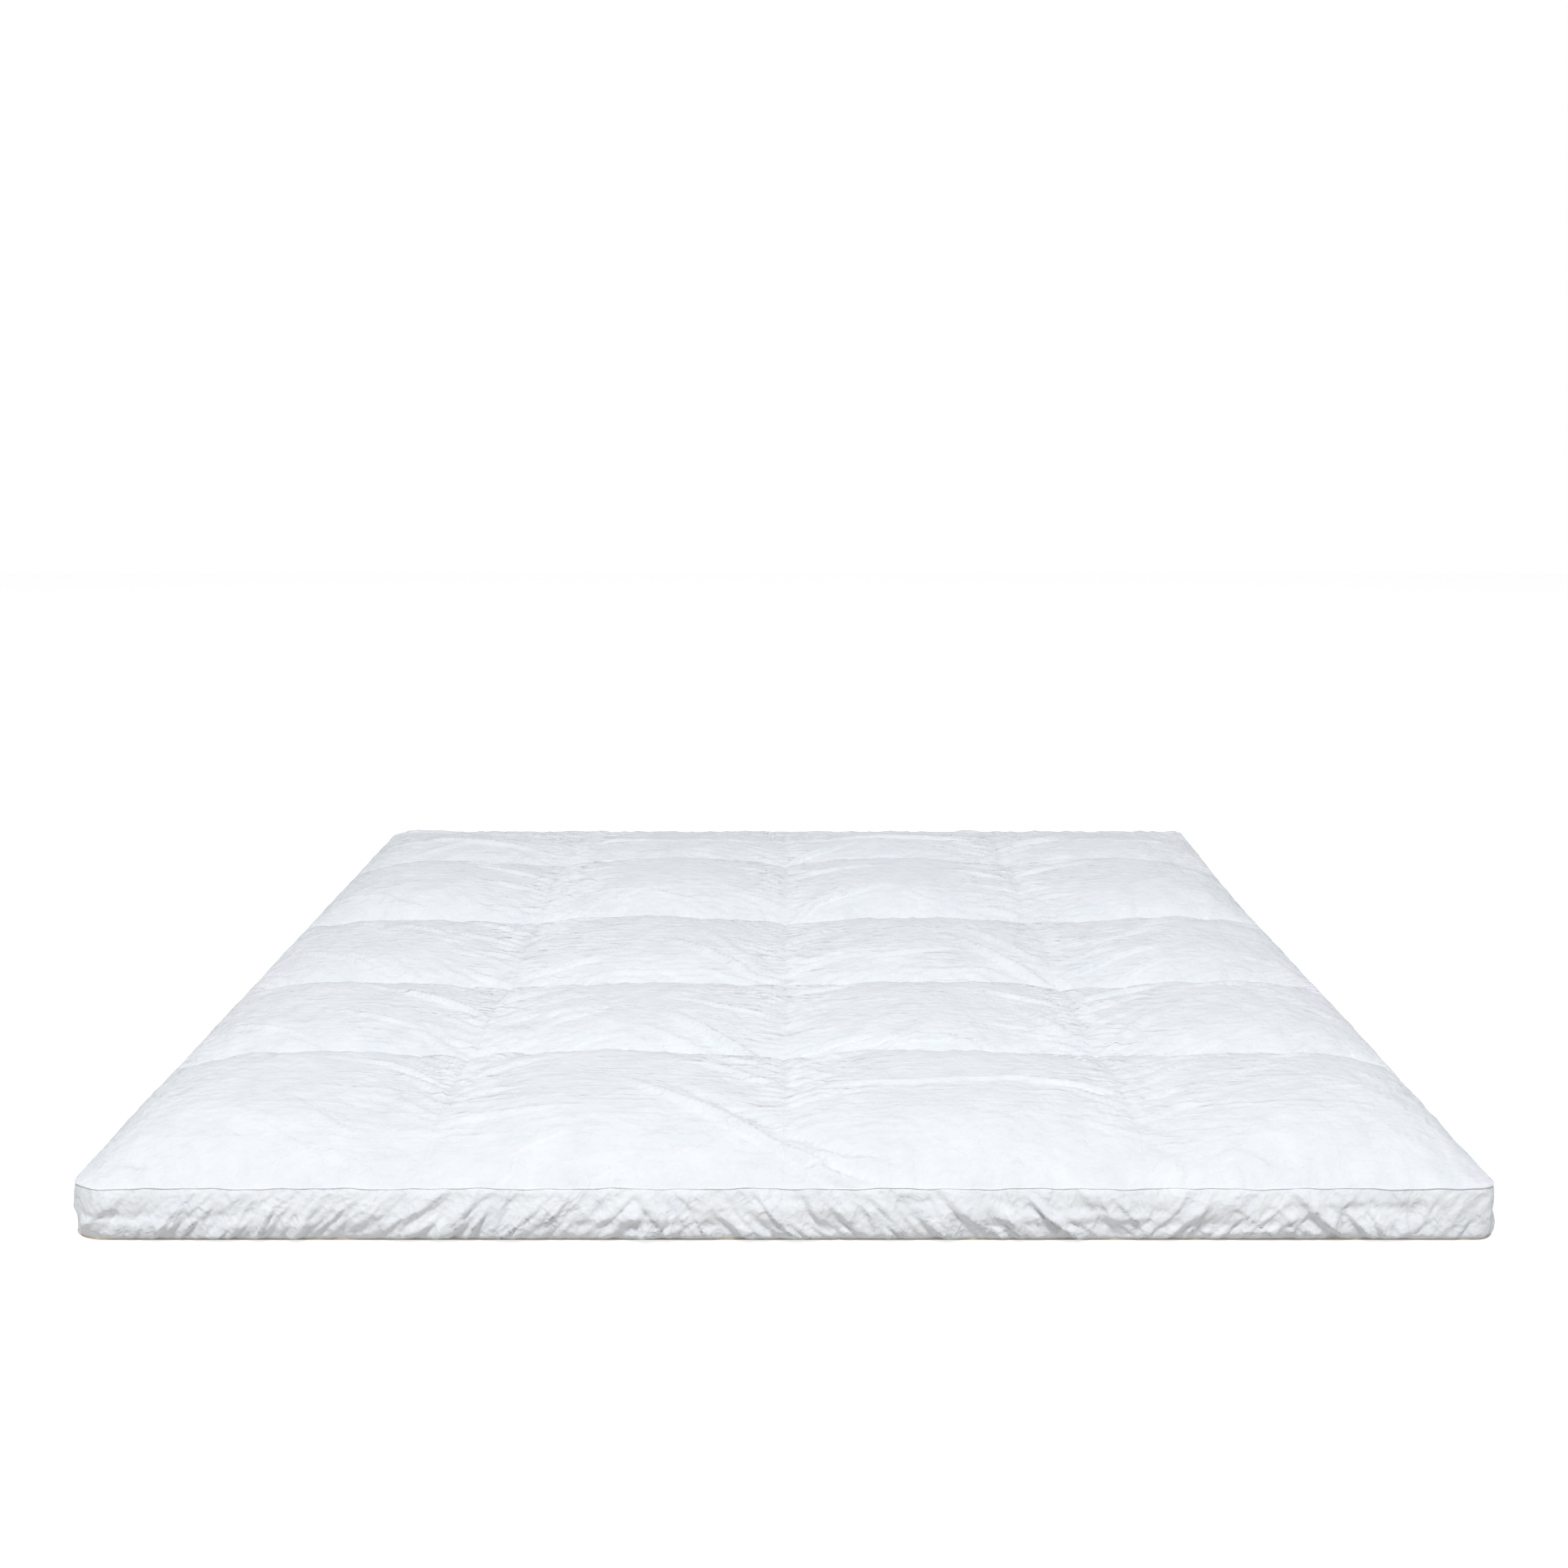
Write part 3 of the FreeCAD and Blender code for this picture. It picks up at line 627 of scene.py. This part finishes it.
def ring_mesh(name, radius, height, outside, material, wavy):
    """A tube all round the bed, which follows the waves of the upper seam where wavy is 1."""
    centre, facing = [], []
    for side in SIDES:
        share = np.linspace(0, 1, ALONG_SIDE + 1)[:-1][None]
        place, way, _ = side_path(side, share)
        centre.append(place[:, 0])
        facing.append(way[:, 0])
    centre, facing = np.concatenate(centre, 1), np.concatenate(facing, 1)
    sway = edge_wave(*centre) * wavy
    turns = np.linspace(0, 2 * np.pi, AROUND_PIPING, endpoint=False)[:, None]
    out = outside + radius * np.cos(turns)
    lift = height + sway + radius * np.sin(turns)
    net = np.stack([centre[0] + facing[0] * out, centre[1] + facing[1] * out, lift + 0 * out])
    index = np.arange(net[0].size).reshape(net[0].shape)
    right, up = np.roll(index, -1, 1), np.roll(index, -1, 0)
    faces = np.stack([index, right, np.roll(right, -1, 0), up], -1).reshape(-1, 4)
    return plain_mesh(name, point_list(net), faces.tolist(), material)


# The upper piping is painted a shade whiter than the panel's cambric: a painted highlight along the upper
# seam.
piping_white_painted_highlight = cambric("bias_cotton_of_upper_piping_painted_highlight", "X", "Y", "F6F8FA", "ECEFF3")
# The lower piping is drawn beige.
piping_beige = cambric("beige_bias_cotton_of_lower_piping", "X", "Y", "E3D3BF", "C6B7A6")
cord_cotton = spun_cotton("twisted_cotton_of_piping_cords", "EFEBE2", "D5CDBD", 0.003)
# The upper piping is sunk in its seam, so it is drawn at half its thickness.
for which, material, wavy, shown in (("top", piping_white_painted_highlight, 1, 0.5), ("bottom", piping_beige, 0, 1.0)):
    low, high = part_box(f"{which}_piping")
    height = (high.z + low.z) / 2
    radius = (high.z - low.z) / 2 * shown
    outside = (high.x - half_width) / 2 - radius
    for part, share, cloth in (("piping", 1.0, material), ("piping_cord", CORD_SHARE, cord_cotton)):
        piece = ring_mesh(f"{which}_edge_{part}", radius * share, height, outside, cloth, wavy)
        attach(piece, "root")
        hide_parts(f"{which}_{part}")

# ---- Bottom panel -----------------------------------------------------------------------------------
# The same cambric, one flat piece that the bed rests on. The baffles' lower edges are sewn to it, which
# draws it up in a shallow channel under each of them.

CHANNEL, CHANNEL_WIDTH = 0.0025, 0.009  # how high and how wide each channel is
base_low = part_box("bottom_panel")[0]


def channel(x, y):
    """How far the baffle seams draw the bottom panel up."""
    near = np.minimum(to_seam(x, columns[1:-1]), to_seam(y, rows[1:-1]))
    inside = np.clip(np.minimum(half_width - np.abs(x), half_length - np.abs(y)) / 0.03, 0, 1)
    return CHANNEL * np.exp(-((near / CHANNEL_WIDTH) ** 2)) * inside


x, y = np.meshgrid(np.linspace(-half_width, half_width, 241), np.linspace(half_length, -half_length, 301))
rng = np.random.default_rng(21)
z = base_low.z + TICKING / 2 + channel(x, y) + 0.0004 + drift(rng, x, y, 0.03, 0.0003)
x, y = in_plan(x, y)
base = net_mesh("bottom_panel_cloth", np.stack([x, y, z]), cambric("cambric_of_bottom_panel", "X", "Y"))
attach(base, "root")
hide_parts("bottom_panel")

# ---- Baffles ----------------------------------------------------------------------------------------
# Upright strips of light muslin inside the bed, sewn to both panels. Three run the whole length and
# sixteen short ones cross between them, so the feathers can't wander from chamber to chamber.


def muslin(name, warp, weft, shade="F1F1ED", deep="DCDBD3"):
    """Unsized cotton muslin: thin, open and matt, its loose weave easy to see."""
    material = bpy.data.materials.new(name)
    tree = empty_tree(material)
    place = add(tree, "ShaderNodeTexCoord").outputs["Object"]
    weave = [
        add(tree, "ShaderNodeTexWave", {"Vector": place, "Scale": band_scale(0.001), "Distortion": 1.2},
            bands_direction=axis).outputs["Fac"]
        for axis in (warp, weft)
    ]
    weave = add(tree, "ShaderNodeMath", {0: weave[0], 1: weave[1]}, operation="MAXIMUM").outputs[0]
    colour = add(tree, "ShaderNodeMix", {0: weave, 6: linear(deep), 7: linear(shade)},
                 data_type="RGBA").outputs[2]
    relief = add(tree, "ShaderNodeBump", {"Height": weave, "Distance": 0.0002, "Strength": 0.6}).outputs[0]
    cloth = add(tree, "ShaderNodeBsdfPrincipled",
                {"Base Color": colour, "Roughness": 0.9, "Normal": relief, "IOR": 1.5,
                 "Specular IOR Level": 0.25})
    add(tree, "ShaderNodeOutputMaterial", {"Surface": cloth.outputs[0]})
    return material


long_muslin = muslin("muslin_of_column_baffles", "Y", "Z")
cross_muslin = muslin("muslin_of_row_baffles", "X", "Z")
BAFFLE_CELLS = 10  # mesh cells over a baffle's height


def baffle(name, node, seam, sideways, material, seed):
    """A strip from the bottom panel up to a quilting seam, pushed a little to and fro by the feathers."""
    rng = np.random.default_rng(seed)
    t = np.linspace(0, 1, BAFFLE_CELLS + 1)[:, None]
    foot = base_low.z + 0.001 + channel(seam[0], seam[1])  # just inside the bottom panel
    top_edge = seam[2] - 0.0004  # just under the top one
    height = foot + (top_edge - foot) * t
    far = np.concatenate([[0], np.cumsum(np.sqrt((np.diff(seam, axis=1) ** 2).sum(0)))])
    far, t_all = np.broadcast_arrays(far[None], t)
    sway = drift(rng, far, t_all, 0.12, 0.004) * np.sin(np.pi * t_all)
    net = np.stack([seam[0] + sway * sideways[0], seam[1] + sway * sideways[1], height])
    piece = net_mesh(name, net, material)
    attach(piece, "root")
    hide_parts(node)


for n in (1, 2, 3):
    seam = panel[:, 2:-2:2, ACROSS * n]
    baffle(f"long_baffle_{n}", f"column_baffle_{n}", seam, (1, 0), long_muslin, 30 + n)
for r in range(1, 5):
    for c in range(1, 5):
        seam = panel[:, ALONG * r, ACROSS * (c - 1) + 1:ACROSS * c:3]
        baffle(f"cross_baffle_{r}_{c}", f"row_baffle_{r}_{c}", seam, (0, 1), cross_muslin, 40 + 4 * r + c)

# ---- Feather fills ----------------------------------------------------------------------------------
# Small white duck feathers with down, blown into each chamber through a gap in the gusset seam. Each
# fill follows its chamber's shape well inside the cloth, clear of its folds, with an uneven surface.


def feathers(name):
    """Small curled duck feathers: white with cream quills, very soft, each catching light on its edge."""
    material = bpy.data.materials.new(name)
    tree = empty_tree(material)
    place = add(tree, "ShaderNodeTexCoord").outputs["Object"]
    vane = add(tree, "ShaderNodeTexVoronoi", {"Vector": place, "Scale": 1 / 0.03, "Randomness": 1.0})
    barb = add(tree, "ShaderNodeTexNoise", {"Vector": place, "Scale": 1 / 0.004, "Detail": 6,
                                            "Distortion": 1.5}).outputs["Fac"]
    tone = add(tree, "ShaderNodeMath", {0: vane.outputs["Distance"], 1: barb}, operation="MULTIPLY")
    tone = add(tree, "ShaderNodeMapRange", {"Value": tone.outputs[0], "From Max": 0.6}).outputs[0]
    colour = add(tree, "ShaderNodeMix", {0: tone, 6: linear("F6F3EC"), 7: linear("D9D2C2")},
                 data_type="RGBA").outputs[2]
    relief = add(tree, "ShaderNodeBump", {"Height": barb, "Distance": 0.002, "Strength": 0.7}).outputs[0]
    down = add(tree, "ShaderNodeBsdfPrincipled",
               {"Base Color": colour, "Roughness": 0.95, "Normal": relief, "IOR": 1.5,
                "Specular IOR Level": 0.2, "Sheen Weight": 0.4, "Sheen Roughness": 0.6})
    add(tree, "ShaderNodeOutputMaterial", {"Surface": down.outputs[0]})
    return material


duck_feathers = feathers("small_white_duck_feathers")
CLEARANCE, SIDE_CLEARANCE = 0.003, 0.008  # least gap under the cloth, and how far each side is drawn in
FOOT_GAP, LEAST_DEPTH = 0.0025, 0.02  # a fill's height over the bed's underside, and its least depth
WALL_BANDS, WALL_BULGE = 4, 0.001  # mesh bands up a fill's walls, and how far they stand out


def lowest_nearby(height, reach):
    """The lowest height within reach nodes of each node, so that a coarser mesh stays under folds."""
    for axis in (0, 1):
        wide = np.pad(height, [(reach, reach) if n == axis else (0, 0) for n in (0, 1)], mode="edge")
        size = height.shape[axis]
        height = np.min([np.take(wide, range(k, k + size), axis) for k in range(2 * reach + 1)], axis=0)
    return height


def heap(lid, foot, centre):
    """The closed surface between a fill's top and its foot, with walls that bulge a little."""
    index = np.arange(lid[0].size).reshape(lid[0].shape)
    rim = np.concatenate([index[0, :-1], index[:-1, -1], index[-1, :0:-1], index[:0:-1, 0]])
    points = point_list(lid) + point_list(foot)
    faces = net_faces(index).tolist() + (net_faces(index)[:, ::-1] + index.size).tolist()
    upper_rim, lower_rim = (net.reshape(3, -1).T[rim] for net in (lid, foot))
    bands = [rim]
    for level in range(1, WALL_BANDS):
        share = level / WALL_BANDS
        ring = upper_rim * (1 - share) + lower_rim * share
        out = ring[:, :2] - centre
        ring[:, :2] += out / np.abs(out).max() * WALL_BULGE * math.sin(math.pi * share)
        bands.append(np.arange(len(rim)) + len(points))
        points.extend(ring.tolist())
    bands.append(rim + index.size)
    for upper, lower in zip(bands, bands[1:]):
        quads = np.stack([np.roll(upper, -1), upper, lower, np.roll(lower, -1)], -1)
        faces.extend(quads.tolist())
    return points, faces


under_panel = np.stack([panel[0], panel[1], lowest_nearby(panel[2], 4)])
for r, c in chambers:
    lid = under_panel[:, ALONG * (r - 1):ALONG * r + 1:4, ACROSS * (c - 1):ACROSS * c + 1:4].copy()
    rng = np.random.default_rng(200 + 10 * r + c)
    centre = np.array([lid[0].mean(), lid[1].mean()])
    for axis in (0, 1):
        lid[axis] = centre[axis] + (lid[axis] - centre[axis]) * (1 - 2 * SIDE_CLEARANCE / np.ptp(lid[axis]))
    lid[2] -= CLEARANCE + np.abs(drift(rng, lid[0], lid[1], 0.02, 0.002))
    foot = lid.copy()
    foot[2] = base_low.z + FOOT_GAP + channel(lid[0], lid[1])
    lid[2] = np.maximum(lid[2], foot[2] + LEAST_DEPTH)
    points, faces = heap(lid, foot, centre)
    piece = plain_mesh(f"feathers_{r}_{c}", points, faces, duck_feathers)
    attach(piece, "root")
    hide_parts(f"feather_fill_{r}_{c}")

# ---- Studio -----------------------------------------------------------------------------------------
# A white floor in a bright white room, with a soft lamp high in front of the foot end and a faint one
# overhead. The floor and the room look white from the camera, and light the bed no more for that.


def seen(tree):
    """1 for a ray from the camera, or one that a surface mirrors or lets through, and 0 for the rest."""
    rays = add(tree, "ShaderNodeLightPath").outputs
    part = add(tree, "ShaderNodeMath", {0: rays["Is Camera Ray"], 1: rays["Is Glossy Ray"]},
               operation="MAXIMUM").outputs[0]
    return add(tree, "ShaderNodeMath", {0: part, 1: rays["Is Transmission Ray"]},
               operation="MAXIMUM").outputs[0]


floor = plain_mesh("floor", [(-9, -9, 0), (9, -9, 0), (9, 9, 0), (-9, 9, 0)], [(0, 1, 2, 3)],
                   bpy.data.materials.new("matt_white_floor_paint"))
tree = empty_tree(floor.data.materials[0])
matt = add(tree, "ShaderNodeBsdfDiffuse", {"Color": linear("CFCCC8")})
glow = add(tree, "ShaderNodeEmission", {"Color": (1, 1, 1, 1), "Strength": 0.72})
both = add(tree, "ShaderNodeAddShader", {0: matt.outputs[0], 1: glow.outputs[0]})
mixed = add(tree, "ShaderNodeMixShader", {0: seen(tree), 1: matt.outputs[0], 2: both.outputs[0]})
add(tree, "ShaderNodeOutputMaterial", {"Surface": mixed.outputs[0]})

world = bpy.data.worlds.new("white_room")
bpy.context.scene.world = world
tree = empty_tree(world)
room = add(tree, "ShaderNodeBackground", {"Color": linear("F6F9FF"), "Strength": 0.38})
white = add(tree, "ShaderNodeBackground", {"Color": (1, 1, 1, 1), "Strength": 1.0})
mixed = add(tree, "ShaderNodeMixShader", {0: seen(tree), 1: room.outputs[0], 2: white.outputs[0]})
add(tree, "ShaderNodeOutputWorld", {"Surface": mixed.outputs[0]})


def lamp(name, place, aim, size, power, tint):
    """A soft box of the given size in metres, turned towards its aim."""
    light = bpy.data.lights.new(name, "AREA")
    light.shape, light.size, light.size_y = "RECTANGLE", size[0], size[1]
    light.energy, light.color = power, tint
    holder = bpy.data.objects.new(name, light)
    holder.location = place
    holder.rotation_euler = (Vector(aim) - Vector(place)).to_track_quat("-Z", "Y").to_euler()
    bpy.context.scene.collection.objects.link(holder)


lamp("key_softbox", (-0.5, -5.3, 7.7), (0, -0.4, 0), (2.0, 1.6), 512, (1.0, 0.99, 0.975))
lamp("overhead_softbox", (0.6, 1.6, 6.0), (0, 0.4, 0), (2.0, 2.0), 20, (1.0, 1.0, 1.0))

# The camera stands 2.2 m in front of the foot end, 0.9 m up, and looks down by 10 degrees.
camera = bpy.data.cameras.new("camera")
camera.lens, camera.sensor_width = 47.2, 36
holder = bpy.data.objects.new("camera", camera)
holder.location = (0, -3.1775, 0.907)
holder.rotation_euler = (math.radians(90 - 10.118), 0, 0)
bpy.context.scene.collection.objects.link(holder)
bpy.context.scene.camera = holder
bpy.context.scene.view_settings.view_transform = "Standard"
